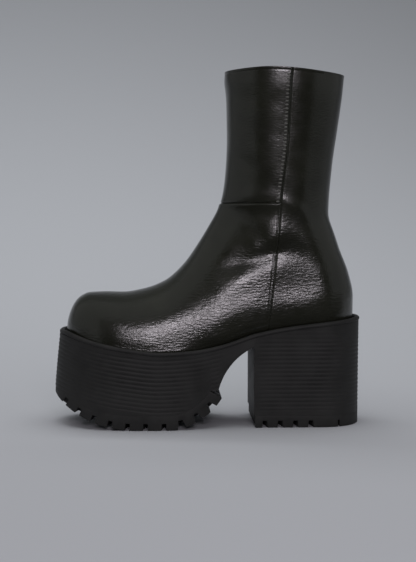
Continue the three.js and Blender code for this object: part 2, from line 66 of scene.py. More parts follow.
# where the plan rounds in to the toe and to the heel, and how squarely
TOE_START, TOE_ROUND = -70.0, 2.3
HEEL_START, HEEL_ROUND = 98.0, 2.2
# foot of the platform's wall, and how much it spreads below a height
TOE_TIP, HEEL_FOOT, WALL_FLARE, FLARE_TOP = -137.0, 136.0, 0.5, 30.0
# heel's front face, and the arch ahead of it: middle, radius and front end
BREAST, ARCH_X, ARCH_Z, ARCH_RADIUS, ARCH_FRONT = 39.2, 62.0, 20.0, 55.8, 7.93
# the tread's flat spot, and the curve that it follows up behind the ball
FLAT_FRONT, FLAT_BACK, ROCKER_RADIUS, ROCKER_ANGLE = -62.5, -37.5, 57.0, math.radians(58)
# joint between wall and treads
TOE_PARTING_LONG, TOE_PARTING_HIGH, JOINT_HEIGHT, HEEL_BOTTOM = 92.0, 52.0, 12.55, 10.52
# share of a section below its widest line, and the height over which its foot tucks in
SIDE_STEPS, FOOT_FLARE = 0.45, 11.5
# the collar's dip: depth, how soon it fades, which way it leans, how it gathers
COLLAR_LIFT, COLLAR_FADE, COLLAR_LEAN, COLLAR_GATHER = 2.8, 12, 1.3, 1.5

# top of the rim: x, height
RIM_ROWS = (
    (-132, 84.0), (-100, 75.1), (-72, 70.3), (-44, 67.5), (-16, 68.8),
    (10, 73.4), (40, 82.7), (70, 88.3), (104, 92.3), (137, 95.6),
)
# rim from above: x, outer edge, inner edge
PLAN_ROWS = (
    (-132, -42.0, 52.0), (-95, -46.5, 50.5), (-70, -48.5, 49.0), (-50, -49.5, 49.5),
    (-28, -48.5, 46.5), (0, -44.0, 39.5), (26, -40.0, 35.0), (52, -38.5, 35.5),
    (80, -38.5, 37.5), (137, -38.5, 38.5),
)
# back of the boot: height, place, depth over which the sides round in to it
BACK_ROWS = (
    (92.6, FEATHER_HEEL, 32.8), (112, 130.9, 32.8), (134, 126.6, 33.0), (159.5, 117.2, 36.0),
    (191, 108.8, 43.0), (228, 111.5, 48.0), (264, 116.5, 51.0), (292, 120.3, 52.5),
    (308.6, 121.8, 53.0),
)
# sections of the last: ridge x and z, base x and z (None follows the sole or the back), outer,
# inner, crest, shoulder, crown
SECTION_ROWS = (
    (FEATHER_TOE, 81.0, FEATHER_TOE, None, -38.0, 47.5, 5.0, 0.12, 2.3),
    (-125.2, 92.0, -125.2, None, -38.5, 47.3, 5.0, 0.12, 2.3),
    (-120.6, 105.2, -120.6, None, -39.5, 47.2, 5.5, 0.12, 2.3),
    (-114.0, 113.2, -114.0, None, -40.5, 47.1, 5.8, 0.12, 2.3),
    (-105.0, 116.8, -105.0, None, -41.5, 46.8, 6.1, 0.12, 2.3),
    (-92.0, 117.2, -92.0, None, -42.5, 46.2, 6.6, 0.12, 2.25),
    (-75.0, 116.8, -74.0, None, -43.9, 45.0, 7.0, 0.12, 2.2),
    (-57.0, 119.6, -52.0, None, -45.0, 45.2, 7.5, 0.12, 2.15),
    (-38.4, 126.7, -26.0, None, -43.5, 42.0, 7.0, 0.13, 2.1),
    (-21.6, 141.4, 4.0, None, -40.5, 37.0, 5.5, 0.16, 2.05),
    (-8.5, 159.8, 36.0, None, -37.5, 34.5, 4.0, 0.24, 2.0),
    (2.2, 177.5, 72.0, None, -36.0, 34.0, 3.0, 0.34, 2.0),
    (8.5, 189.0, 106.0, None, -35.3, 34.3, 2.0, 0.44, 2.0),
    (12.3, 198.5, FEATHER_HEEL, None, -35.0, 34.7, 1.0, 0.52, 2.0),
    (14.8, 211.0, None, 112.0, -35.0, 35.0, 0.5, 0.56, 2.0),
    (16.2, 225.0, None, 134.0, -35.0, 35.0, 0.2, 0.545, 2.0),
    (17.1, 240.0, None, 159.5, -35.0, 35.0, 0.0, 0.52, 2.0),
    (17.4, 253.0, None, 191.0, -35.5, 35.5, 0.0, 0.49, 2.05),
    (17.2, 270.0, None, 228.0, -36.5, 36.5, 0.0, 0.49, 2.1),
    (16.7, 288.0, None, 264.0, -38.0, 38.0, 0.0, 0.50, 2.1),
    (15.1, 304.0, None, 292.0, -39.5, 39.5, 0.0, 0.50, 2.1),
    (15.6, 312.3, None, 308.6, -40.0, 40.0, 0.0, 0.50, 2.1),
)
HEEL_SEAT_ROW = 13
LAST_ROW = len(SECTION_ROWS) - 1

# the seam down the outer side, collar to sole: height, x
SIDE_SEAM = (
    (89.2, 51.4), (111.9, 53.9), (129.4, 56.0), (148.5, 57.7), (164.2, 59.8), (181.5, 61.1),
    (198.8, 62.3), (219.5, 64.8), (244.5, 67.8), (272.0, 69.0), (297.7, 70.1), (313.0, 71.4),
)
ANKLE_SEAM_HEIGHT = 195.8
# the stitched stretch of that seam, and the place, size and standing of a stitch
STITCHED_FROM, STITCHED_TO, STITCH_PITCH = 196.0, 309.0, 3.2
STITCH_SETBACK, STITCH_PROUD, STITCH_HALVES = 2.4, 0.18, (1.5, 0.55, 0.72)

# the vamp's sides lean in: how far, from what height above the sole, over what rise, fading
# over what, and the stretches of x where that comes and goes
LEAN, LEAN_START, LEAN_RISE, LEAN_FADE = 2.7, 3.0, 9.0, 30.0
LEAN_TOE, LEAN_WAIST = (-125.0, -100.0), (-32.0, 6.0)
# the crinkled field: middle and spread along x and z, height on the outer and the inner side
FIELD_X, FIELD_Z, CRINKLE_OUTER, CRINKLE_INNER = (44.0, 34.0), (124.0, 20.0), 0.032, 0.015
# waves of the crinkle, radians per millimetre along x and up z: two slow ones, each with its
# height and start, bend the lines, and one thins the lines in patches
SLOW_WAVES = ((1.9, 0.085, 0.05, 0.0), (1.1, 0.19, -0.11, 1.3))
LINES, PATCHES, PATCH_SHARE = (0.30, 1.75), (0.23, 0.31), 0.4
CROSS_LINES, CROSS_SHARE, CROSS_BEND = (-0.42, 2.6), 0.6, 1.7
# stretches above the sole and at the collar over which the relief is held back, and by how much
SOLE_CALM, COLLAR_CALM, COLLAR_HOLD = (-1.0, 4.0), (296.0, 309.0), 0.85
# side seam: height of its change at the ankle, the lap above it and the grooves
SEAM_CHANGE, LAP, LAP_EDGE, LAP_FADE = (193.0, 198.0), 0.10, (-0.4, 0.5), (5.0, 16.0)
WIDE_GROOVE, NARROW_GROOVE, GROOVE_SETBACK = 0.55, 0.42, 0.5
# below the ankle: place behind the seam's middle, share of the full depth
LOW_GROOVES = ((-1.25, 0.45), (1.0, 1.0))
# ankle seam: share of the full depth, where it ends at the side seam, and the lip under it:
# height, edge, middle and reach
ANKLE_GROOVE, ANKLE_END = 1.3, (-1.2, -0.2)
ANKLE_LIP, LIP_EDGE, LIP_MIDDLE, LIP_REACH = 0.50, (-0.3, 0.5), 0.8, 3.4
# the collar's turned edge, and the groove under it: depth, distance down, width
TURNED_EDGE, TURNED_DEPTH = 0.14, (1.6, 2.4)
TURNED_GROOVE, TURNED_GROOVE_DOWN, TURNED_GROOVE_WIDTH = 0.12, 2.5, 0.5
# the leather is meshed finer here: beside the seams, near the collar, and in the crinkled field
BESIDE_SIDE_SEAM, SIDE_SEAM_FOOT, BESIDE_ANKLE_SEAM, PAST_ANKLE_SEAM = 5.5, 80.0, 4.5, 3.0
COLLAR_FROM, CRINKLED_X, CRINKLED_Z, FINER_CUTS = 308.5, (13.0, 94.0), (98.0, 148.0), 3
# samples of the outer side for laying stitches: rows and places round them, each with its count
SAMPLE_ROWS, SAMPLE_TURNS = (9, LAST_ROW, 700), (0.02, 0.48, 160)
# the leather's shading breaks at this angle, and a stitch's, degrees
LEATHER_ANGLE, STITCH_ANGLE = 50, 60

# creases: side (-1 outer, +1 inner, 0 both), height (a trough is below zero), half width, and
# path in side view
CREASES = (
    (-1, 1.6, 14.0, ((-4, 84), (10, 93), (36, 102), (72, 107), (102, 114), (126, 122))),
    (-1, 0.9, 12.0, ((70, 101), (88, 105), (108, 111))),
    (-1, -1.4, 12.0, ((70, 150), (90, 149), (110, 142))),
    (-1, -2.2, 8.5, ((8, 138), (28, 145), (46, 151), (64, 155), (84, 156))),
    (-1, 1.5, 8.5, ((30, 149), (44, 157), (58, 167), (66, 173))),
    (-1, 0.7, 9.0, ((0, 106), (20, 124), (40, 136))),
    (-1, 0.7, 5.0, ((22, 202), (38, 203), (56, 203))),
    (-1, 0.7, 4.5, ((60, 201), (74, 194), (88, 183))),
    (-1, -0.6, 6.5, ((64, 188), (76, 180), (88, 168))),
    (-1, -0.9, 6.0, ((32, 185), (48, 186), (60, 187))),
    (-1, -0.25, 9.0, ((34, 283), (50, 285), (64, 281))),
    (-1, -0.3, 10.0, ((34, 253), (50, 257), (66, 258))),
    (-1, -0.25, 8.0, ((36, 230), (52, 234), (64, 233))),
    (1, 2.0, 15.0, ((-40, 71), (-10, 77), (8, 87), (36, 97), (72, 104), (102, 113))),
    (1, -1.6, 8.0, ((14, 143), (36, 152), (60, 158), (84, 156))),
    (1, 1.3, 8.0, ((28, 158), (46, 168), (62, 174))),
    (0, -0.7, 7.0, ((94, 176), (106, 182), (116, 188))),
)

# what the camera looks at and where it stands, metres and degrees
TARGET = (0.00055, 0.0, 0.1263)
CAMERA_DISTANCE, CAMERA_AZIMUTH, CAMERA_ELEVATION = 1.05, -2.4, 3.63
CAMERA_LENS, CAMERA_SENSOR, CAMERA_FAR = 74.73, 36.0, 50.0

# the wall's mesh: stations along each side, levels, and how far a cut stands off the heel's front
WALL_STATIONS, WALL_LEVELS, BREAST_CUT = 150, 150, 0.01
# the wall stops short of the bead and stands out at the toe and the heel, the toe's slope bends
# by this exponent, and the footbed's edge lies this far in
BEAD_GAP, HEEL_STAND, TOE_CURVE, FOOTBED_INSET = 0.4, 0.2, 1.15, 4.0
# how near the heel's front a face counts as its own, and at what angle the shading breaks
BREAST_REACH, WALL_ANGLE = 0.4, 35
# material slots after the wall's
RIM_SLOT, BREAST_SLOT = 1, 2
# ribs come and go over these stretches: below the rim, above the floor, and along x; and the
# shares that they lose or keep there
RIB_TOP, RIB_FOOT, RIB_WAIST, RIB_END = (4.0, 7.0), (52.0, 54.5), (-70.0, -10.0), (0.0, 26.0)
WAIST_LOSS, RIB_SHARPNESS = 0.45, 1.6
HEEL_RIB_FOOT, HEEL_RIB_CALM, HEEL_RIB_TOP = (14.0, 16.0), (70.0, 80.0), (84.0, 90.0)
HEEL_RIB_START, HEEL_RIB_BACK = (38.0, 52.0), (80.0, 120.0)
HEEL_TOP_LOSS, HEEL_FRONT_SHARE = 0.7, 0.6
# treads: points closer than the first, metres, are one; faces flatter than the second merge;
# edges sharper than the third are rounded; shading breaks at the fourth, degrees
TREAD_WELD, TREAD_FLAT, TREAD_SHARP, TREAD_ANGLE = 0.00001, 1.5, 40, 32
# CAD node and the piece that is made of it
TREADS = (("outsole_forefoot", "forefoot_tread"), ("heel_top_piece", "heel_tread"))

# the stage, in metres
# soft lights: name, place, aimed at, width, height, power, colour, whether the gloss shows it
LIGHTS = (
    ("front", (0.04, -1.50, 0.63), (0, 0, 0.11), 0.50, 0.22, 5.3, (1.0, 0.93, 1.0), True),
    ("back", (-0.5, 0.9, 1.7), (-0.2, 2.2, 0.2), 3.0, 0.8, 20.0, (0.96, 0.98, 1.0), False),
    ("top", (-0.1, -0.1, 1.5), (0, 0, 0), 1.6, 1.2, 10.0, (0.98, 0.99, 1.0), False),
)
# black cloths: name, place, tilt, length, whether they shade as well as show in the gloss
CLOTHS = (
    ("black_flag", (0, -2.0, 0.95), 90, 2.1, True),
    ("black_table", (0, -1.05, 0.002), 0, 1.92, False),
)
CLOTH_WIDTH, CLOTH_BLACK = 3.4, (0.004, 0.004, 0.004)
# room, metres: floor's side, its middle and height, backdrop's height, sweep between the two
ROOM_SIZE, FLOOR_PLACE, ROOM_HEIGHT, ROOM_SWEEP = 9.0, (0, -1.2, -0.0002), 8.0, 2.8
SWEEP_SEGMENTS, ROOM_ANGLE = 40, 60
# painted shade: the backdrop darkens to this share of the room's colour at this height
ROOM_SHADE, ROOM_SHADE_TOP = 0.80, 0.9
SKY_COLOUR, SKY_STRENGTH = (0.955, 0.975, 1.0), 0.21


# ------------------------------------------------------------------ sizes and colours

class BootSizes(bpy.types.PropertyGroup):
    """Sizes of the finish that a maker would change"""

    wall: FloatProperty(
        name="Leather", description="Thickness of leather and lining", default=0.0022,
        unit="LENGTH",
    )
    rib_pitch: FloatProperty(
        name="Rib pitch", description="Height of one rib of the sole", default=0.0037,
        unit="LENGTH",
    )
    rib_depth: FloatProperty(
        name="Rib depth", description="Depth of the grooves between ribs", default=0.0003,
        unit="LENGTH",
    )
    seam_groove: FloatProperty(
        name="Seam groove", description="Depth of a seam's groove", default=0.0009,
        unit="LENGTH",
    )
    lug_edge: FloatProperty(
        name="Lug edge", description="Rounding of the tread's edges", default=0.00045,
        unit="LENGTH",
    )
    rings: IntProperty(
        name="Rings", description="Sections of the upper", default=174, min=40, max=260,
    )
    around: IntProperty(
        name="Around", description="Steps round a section", default=140, min=40, max=200,
    )


class BootColours(bpy.types.PropertyGroup):
    """Colours of the boot and of the room"""

    leather: FloatVectorProperty(
        name="Leather", description="Leather outside", subtype="COLOR", size=3,
        default=(0.0175, 0.0183, 0.0125), min=0, max=1,
    )
    lining: FloatVectorProperty(
        name="Lining", description="Leather inside", subtype="COLOR", size=3,
        default=(0.030, 0.026, 0.022), min=0, max=1,
    )
    # painted warm light: the heel's front face is coloured lighter and browner than the rubber
    breast_painted_light: FloatVectorProperty(
        name="Heel front", description="Front face of the heel, painted lighter and warmer", subtype="COLOR",
        size=3, default=(0.110, 0.100, 0.070), min=0, max=1,
    )
    rubber: FloatVectorProperty(
        name="Rubber", description="Platform and treads", subtype="COLOR", size=3,
        default=(0.0250, 0.0250, 0.0240), min=0, max=1,
    )
    # pale thread: partly the thread's own colour, partly a painted highlight of the puckered
    # leather
    thread_and_highlight: FloatVectorProperty(
        name="Thread", description="Stitches", subtype="COLOR", size=3,
        default=(0.15, 0.15, 0.135), min=0, max=1,
    )
    room: FloatVectorProperty(
        name="Room", description="Floor and backdrop", subtype="COLOR", size=3,
        default=(0.51, 0.52, 0.545), min=0, max=1,
    )


# ------------------------------------------------------------------ curves and sections

def through(xs, ys):
    """A smooth curve through points that never passes beyond their values."""
    xs = np.array(xs, float)
    ys = np.array(ys, float)
    slopes = np.diff(ys) / np.diff(xs)
    before = np.concatenate([slopes[:1], slopes])
    after = np.concatenate([slopes, slopes[-1:]])
    product = before * after
    total = np.where(product > 0, before + after, 1.0)
    tangents = np.where(product > 0, 2 * product / total, 0.0)

    def at(x):
        x = np.clip(np.asarray(x, float), xs[0], xs[-1])
        i = np.clip(np.searchsorted(xs, x, side="left") - 1, 0, len(xs) - 2)
        span = xs[i + 1] - xs[i]
        t = (x - xs[i]) / span
        rise = t * t * (3 - 2 * t)
        leave = t * (1 - t) ** 2 * span
        arrive = t * t * (t - 1) * span
        level = ys[i] * (1 - rise) + ys[i + 1] * rise
        return level + tangents[i] * leave + tangents[i + 1] * arrive

    return at


def column(rows, x, y):
    return through([row[x] for row in rows], [row[y] for row in rows])


rim_height = column(RIM_ROWS, 0, 1)
plan_outer = column(PLAN_ROWS, 0, 1)
plan_inner = column(PLAN_ROWS, 0, 2)
back_line = column(BACK_ROWS, 0, 1)
back_round = column(BACK_ROWS, 0, 2)
seam_x = column(SIDE_SEAM, 0, 1)


def footbed(x):
    return rim_height(x) - RIM_DEPTH


def centre_line(x):
    return (plan_outer(x) + plan_inner(x)) / 2


def rounding(x, start, end, exponent):
    gone = np.clip((x - start) / (end - start), 0, 1)
    return (1 - gone ** exponent) ** (1 / exponent)


def smooth_step(x, low, high):
    t = np.clip((x - low) / (high - low), 0, 1)
    return t * t * (3 - 2 * t)


def section_curves():
    rows = []
    for row in SECTION_ROWS:
        cut = list(row)
        if cut[2] is None:
            cut[2] = float(back_line(cut[3]))
        if cut[3] is None:
            cut[3] = float(footbed(cut[2])) + CLEARANCE
        rows.append(cut)
    places = list(range(len(rows)))
    return [through(places, [row[i] for row in rows]) for i in range(9)]


SECTION_CURVES = section_curves()


def last_points(s, t):
    """Points of the last, for arrays of section places and places round a section."""
    s = np.asarray(s, float)
    t = np.asarray(t, float)
    cut = [curve(s) for curve in SECTION_CURVES]
    ridge_x, ridge_z, base_x, base_z, outer, inner, crest, shoulder, crown = cut
    on_sole = s < HEEL_SEAT_ROW
    base_z = np.where(on_sole, footbed(base_x) + CLEARANCE, base_z)
    base_x = np.where(on_sole, base_x, back_line(base_z))
    centre = np.where(on_sole, centre_line(base_x), 0.0)
    climb = 2 * np.minimum(t, 1 - t)
    below = climb < SIDE_STEPS
    share = np.where(below, climb / SIDE_STEPS, (climb - SIDE_STEPS) / (1 - SIDE_STEPS))
    q = share * math.pi / 2
    sine = np.sin(q) ** (2 / crown)
    cosine = np.maximum(np.cos(q), 0) ** (2 / crown)
    up = np.where(below, shoulder * (1 - np.cos(q)), shoulder + (1 - shoulder) * sine)
    x = base_x + (ridge_x - base_x) * up
    z = base_z + (ridge_z - base_z) * up
    half = np.where(t < 0.5, outer, inner) - centre
    peak = crest - centre
    over = np.where(below, half, peak + (half - peak) * cosine)
    feather = (plan_inner(x) - plan_outer(x)) / 2 - FEATHER_INSET
    foot_share = feather / np.abs(half)
    height = np.clip((z - footbed(x) - CLEARANCE) / FOOT_FLARE, 0, 1)
    foot = foot_share + (1 - foot_share) * np.sin(height * math.pi / 2)
    toe = rounding(base_x, TOE_START, FEATHER_TOE, TOE_ROUND)
    back = back_line(z)
    heel = rounding(x, back - back_round(z), back, HEEL_ROUND)
    y = centre + over * foot * toe * heel
    scoop = np.sin(math.pi * np.minimum(up, 1) ** COLLAR_LEAN) ** COLLAR_GATHER
    lift = COLLAR_LIFT * scoop * (s / LAST_ROW) ** COLLAR_FADE
    return np.stack([x, y, z + lift], -1)


def even_sections(count):
    """Section places spread so that each step travels about as far round the boot."""
    fine = np.linspace(0, LAST_ROW, 2400)
    ridge = last_points(fine, np.full(fine.shape, 0.5))
    base = last_points(fine, np.zeros(fine.shape))
    step = np.linalg.norm(np.diff(ridge, axis=0), axis=1)
    step = step + np.linalg.norm(np.diff(base, axis=0), axis=1)
    travelled = np.concatenate([[0], np.cumsum(step)])
    return np.interp(np.linspace(0, travelled[-1], count), travelled, fine)


def stroke(x, z, path, width):
    """A soft stroke along a path in side view: 1 on its middle, fading to its sides and ends."""
    knots = np.array(path, float)
    legs = np.linalg.norm(np.diff(knots, axis=0), axis=1)
    gone = np.concatenate([[0], np.cumsum(legs)])
    count = max(8, int(gone[-1] / width * 3))
    at = (np.arange(count) + 0.5) / count * gone[-1]
    px, pz = through(gone, knots[:, 0])(at), through(gone, knots[:, 1])(at)
    spacing = gone[-1] / count
    weight = np.sin(at / gone[-1] * math.pi) ** 0.5 * spacing / (width * math.sqrt(math.pi))
    total = np.zeros(x.shape)
    for each_x, each_z, each_weight in zip(px, pz, weight):
        total += each_weight * np.exp(-((x - each_x) ** 2 + (z - each_z) ** 2) / width ** 2)
    return total


def bell(distance, width):
    return np.exp(-(distance / width) ** 2)


def creases(x, z, side):
    """The soft troughs and ridges of worn leather."""
    out = np.zeros(x.shape)
    for wanted, height, width, path in CREASES:
        on = (side == wanted) | (wanted == 0)
        out[on] += height * stroke(x[on], z[on], path, width)
    return out


def wave(x, z, along, up, start=0.0):
    return np.sin(along * x + up * z + start)


def crinkle(x, z, side):
    """Fine wandering lines across the quarters, in a field on each side of the side seam."""
    field = bell(x - FIELD_X[0], FIELD_X[1]) * bell(z - FIELD_Z[0], FIELD_Z[1])
    bend = sum(high * wave(x, z, along, up, start) for high, along, up, start in SLOW_WAVES)
    patches = 1 - PATCH_SHARE + PATCH_SHARE * wave(x, z, *PATCHES)
    lines = wave(x, z, *LINES, bend) * patches
    lines += CROSS_SHARE * wave(x, z, *CROSS_LINES, CROSS_BEND * bend)
    return np.where(side < 0, CRINKLE_OUTER, CRINKLE_INNER) * field * lines


def vamp_lean(x, z):
    """How far the vamp's sides lean in, soon above the sole."""
    rise = np.maximum(z - footbed(x) - LEAN_START, 0)
    lean = (1 - np.exp(-rise / LEAN_RISE)) * bell(rise, LEAN_FADE)
    return LEAN * lean * smooth_step(x, *LEAN_TOE) * (1 - smooth_step(x, *LEAN_WAIST))


def seams(x, z, groove):
    """The side seam, the ankle seam ahead of it and the collar's turned edge."""
    from_seam = x - seam_x(z)
    above = smooth_step(z, *SEAM_CHANGE)
    # above the ankle the front piece laps over the back one: a step with a groove behind it
    lap = smooth_step(-from_seam, *LAP_EDGE) * (1 - smooth_step(-from_seam, *LAP_FADE))
    out = LAP * above * lap
    out -= groove * above * bell(from_seam - GROOVE_SETBACK, WIDE_GROOVE)
    # below it two close grooves run down to the sole
    for place, share in LOW_GROOVES:
        out -= share * groove * (1 - above) * bell(from_seam - place, NARROW_GROOVE)
    ahead = 1 - smooth_step(from_seam, *ANKLE_END)
    from_ankle = z - ANKLE_SEAM_HEIGHT
    out -= ahead * groove * ANKLE_GROOVE * bell(from_ankle - GROOVE_SETBACK, WIDE_GROOVE)
    lip = smooth_step(-from_ankle, *LIP_EDGE) * bell(from_ankle + LIP_MIDDLE, LIP_REACH)
    out += ahead * ANKLE_LIP * lip
    down = collar_height(x) - z
    out += TURNED_EDGE * (1 - smooth_step(down, *TURNED_DEPTH))
    return out - TURNED_GROOVE * bell(down - TURNED_GROOVE_DOWN, TURNED_GROOVE_WIDTH)


def relief(points, sizes):
    """How far each point of the leather stands out of the last, in millimetres."""
    x, y, z = points[..., 0], points[..., 1], points[..., 2]
    side = np.where(y < centre_line(x), -1, 1)
    out = creases(x, z, side) + crinkle(x, z, side) - vamp_lean(x, z)
    # little or nothing stirs the edge at the sole or at the collar
    out *= smooth_step(z - footbed(x), *SOLE_CALM)
    out *= 1 - smooth_step(z, *COLLAR_CALM) * COLLAR_HOLD
    return out + seams(x, z, sizes.seam_groove / MM)


def collar_curve():
    """Height of the collar's edge along the boot."""
    t = np.linspace(0, 0.5, 120)
    edge = last_points(np.full(t.shape, float(LAST_ROW)), t)
    order = np.argsort(edge[:, 0])
    return through(edge[order, 0] + np.arange(len(order)) * 1e-6, edge[order, 2])


collar_height = collar_curve()


# ------------------------------------------------------------------ mesh helpers

def deselect():
    for each in list(bpy.context.selected_objects):
        each.select_set(False)
    bpy.context.view_layer.objects.active = None


def only(piece):
    deselect()
    piece.select_set(True)
    bpy.context.view_layer.objects.active = piece


def apply_modifiers(piece):
    only(piece)
    for modifier in list(piece.modifiers):
        bpy.ops.object.modifier_apply(modifier=modifier.name)


def grid_piece(name, points):
    """A sheet of rows and columns, started as a grid and laid on its points (millimetres)."""
    rows, columns = points.shape[:2]
    deselect()
    bpy.ops.mesh.primitive_grid_add(
        x_subdivisions=columns - 1, y_subdivisions=rows - 1, size=1, location=(0, 0, 0),
    )
    piece = bpy.context.object
    piece.name = name
    piece.data.name = name
    piece.data.vertices.foreach_set("co", (points * MM).astype(np.float32).ravel())
    piece.data.update()
    return piece


def close_doubles(piece, distance=0.00002):
    only(piece)
    bpy.ops.object.mode_set(mode="EDIT")
    bpy.ops.mesh.select_all(action="SELECT")
    bpy.ops.mesh.remove_doubles(threshold=distance)
    bpy.ops.mesh.dissolve_degenerate(threshold=0.000001)
    bpy.ops.mesh.select_all(action="SELECT")
    bpy.ops.mesh.normals_make_consistent(inside=False)
    bpy.ops.object.mode_set(mode="OBJECT")


def read_points(piece):
    flat = np.empty(len(piece.data.vertices) * 3, np.float32)
    piece.data.vertices.foreach_get("co", flat)
    return flat.reshape(-1, 3).astype(float) / MM


def read_normals(piece):
    flat = np.empty(len(piece.data.vertices) * 3, np.float32)
    piece.data.vertex_normals.foreach_get("vector", flat)
    return flat.reshape(-1, 3).astype(float)


def read_layer(piece, name):
    values = np.empty(len(piece.data.vertices), np.float32)
    piece.data.attributes[name].data.foreach_get("value", values)
    return values.astype(float)


def subdivide_near(piece, wanted, cuts):
    """Cuts the faces finer whose middles the test wants."""
    only(piece)
    bpy.ops.object.mode_set(mode="EDIT")
    bpy.ops.mesh.select_mode(type="FACE")
    bpy.ops.mesh.select_all(action="DESELECT")
    bpy.ops.object.mode_set(mode="OBJECT")
    middles = np.array([face.center[:] for face in piece.data.polygons]) / MM
    piece.data.polygons.foreach_set("select", wanted(middles))
    bpy.ops.object.mode_set(mode="EDIT")
    bpy.ops.mesh.subdivide(number_cuts=cuts, quadcorner="INNERVERT")
    bpy.ops.object.mode_set(mode="OBJECT")


def beside_seams(points):
    x, y, z = points[:, 0], points[:, 1], points[:, 2]
    outer = y < centre_line(x)
    from_seam = x - seam_x(z)
    side = (np.abs(from_seam) < BESIDE_SIDE_SEAM) & (z > SIDE_SEAM_FOOT)
    ankle = np.abs(z - ANKLE_SEAM_HEIGHT) < BESIDE_ANKLE_SEAM
    ankle = ankle & (from_seam < PAST_ANKLE_SEAM)
    crinkled = (x > CRINKLED_X[0]) & (x < CRINKLED_X[1])
    crinkled = crinkled & (z > CRINKLED_Z[0]) & (z < CRINKLED_Z[1])
    return (outer & (side | ankle | crinkled)) | (z > COLLAR_FROM)


def smooth_by_angle(piece, degrees):
    only(piece)
    bpy.ops.object.shade_smooth_by_angle(angle=math.radians(degrees))


def finish_piece(piece, materials, slot, *nodes):
    """Gives a piece its materials, parents it to the root and hides the CAD nodes it stands for;
    slot is not used.
    """
    piece.data.materials.clear()
    for each in materials:
        piece.data.materials.append(each)
    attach(piece, "root")
    if nodes:
        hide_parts(*nodes)
    deselect()


# ------------------------------------------------------------------ materials

def new_material(name, colour, roughness):
    material = bpy.data.materials.new(name)
    material.use_nodes = True
    shader = material.node_tree.nodes["Principled BSDF"]
    shader.inputs["Base Color"].default_value = (*colour, 1)
    shader.inputs["Roughness"].default_value = roughness
    return material, material.node_tree, shader


def object_noise(tree, scale, detail, stretch=(1, 1, 1)):
    """Noise that stays put on the piece."""
    place = tree.nodes.new("ShaderNodeTexCoord")
    mapping = tree.nodes.new("ShaderNodeMapping")
    mapping.inputs["Scale"].default_value = stretch
    noise = tree.nodes.new("ShaderNodeTexNoise")
    noise.inputs["Scale"].default_value = scale
    noise.inputs["Detail"].default_value = detail
    tree.links.new(place.outputs["Object"], mapping.inputs["Vector"])
    tree.links.new(mapping.outputs["Vector"], noise.inputs["Vector"])
    return noise.outputs["Fac"]


def remapped(tree, source, low, high, to_low=0.0, to_high=1.0):
    """Spreads what lies between two values over two others, and holds what is beyond."""
    ramp = tree.nodes.new("ShaderNodeMapRange")
    ramp.inputs["From Min"].default_value = low
    ramp.inputs["From Max"].default_value = high
    ramp.inputs["To Min"].default_value = to_low
    ramp.inputs["To Max"].default_value = to_high
    tree.links.new(source, ramp.inputs["Value"])
    return ramp.outputs["Result"]


def height_above_floor(tree):
    place = tree.nodes.new("ShaderNodeTexCoord")
    parts = tree.nodes.new("ShaderNodeSeparateXYZ")
    tree.links.new(place.outputs["Object"], parts.inputs["Vector"])
    return parts.outputs["Z"]


def mottle_and_painted_shade(tree, shader, factor, colour, first, second):
    """Moves the shader's colour between two shares of it, for random mottle and for painted shade.
    """
    mix = tree.nodes.new("ShaderNodeMix")
    mix.data_type = "RGBA"
    mix.inputs["A"].default_value = (*(c * first for c in colour), 1)
    mix.inputs["B"].default_value = (*(c * second for c in colour), 1)
    tree.links.new(factor, mix.inputs["Factor"])
    tree.links.new(mix.outputs["Result"], shader.inputs["Base Color"])


def bumped(tree, shader, height, strength, distance, below=None):
    bump = tree.nodes.new("ShaderNodeBump")
    bump.inputs["Strength"].default_value = strength
    bump.inputs["Distance"].default_value = distance
    tree.links.new(height, bump.inputs["Height"])
    if below is not None:
        tree.links.new(below, bump.inputs["Normal"])
    tree.links.new(bump.outputs["Normal"], shader.inputs["Normal"])
    return bump.outputs["Normal"]


# the span of a noise that its patterns use
NOISE_SPAN = (0.3, 0.7)
# the leather's creasing: full below the first height, metres, and this share above the second
CREASE_CALM, CALM_SHARE = (0.165, 0.200), 0.3


def boot_leather(colours):
    """Smooth black leather: fine pebble, soft grain, a little uneven in gloss."""
    colour = tuple(colours.leather)
    material, tree, shader = new_material("black_leather", colour, roughness=0.30)
    shader.inputs["Specular IOR Level"].default_value = 0.85
    broad = object_noise(tree, scale=34.0, detail=3.0)
    mottle_and_painted_shade(tree, shader, remapped(tree, broad, *NOISE_SPAN), colour, 0.8, 1.2)
    gloss = object_noise(tree, scale=90.0, detail=4.0)
    gloss = remapped(tree, gloss, *NOISE_SPAN, to_low=0.18, to_high=0.27)
    tree.links.new(gloss, shader.inputs["Roughness"])
    place = tree.nodes.new("ShaderNodeTexCoord")
    pebble = tree.nodes.new("ShaderNodeTexVoronoi")
    pebble.feature = "SMOOTH_F1"
    pebble.inputs["Scale"].default_value = 1050.0
    tree.links.new(place.outputs["Object"], pebble.inputs["Vector"])
    fine = bumped(tree, shader, pebble.outputs["Distance"], strength=0.12, distance=0.0004)
    crease = object_noise(tree, scale=330.0, detail=5.0, stretch=(0.7, 0.7, 2.0))
    above = height_above_floor(tree)
    calm = remapped(tree, above, *CREASE_CALM, to_low=1.0, to_high=CALM_SHARE)
    height = tree.nodes.new("ShaderNodeMath")
    height.operation = "MULTIPLY"
    tree.links.new(crease, height.inputs[0])
    tree.links.new(calm, height.inputs[1])
    bumped(tree, shader, height.outputs["Value"], strength=0.36, distance=0.0008, below=fine)
    return material


def boot_lining(colours):
    """Dark lining leather with a short nap, also the insole's sock."""
    colour = tuple(colours.lining)
    material, tree, shader = new_material("leather_lining", colour, roughness=0.75)
    grain = object_noise(tree, scale=500.0, detail=4.0)
    mottle_and_painted_shade(tree, shader, remapped(tree, grain, *NOISE_SPAN), colour, 0.75, 1.25)
    bumped(tree, shader, grain, strength=0.25, distance=0.0003)
    return material


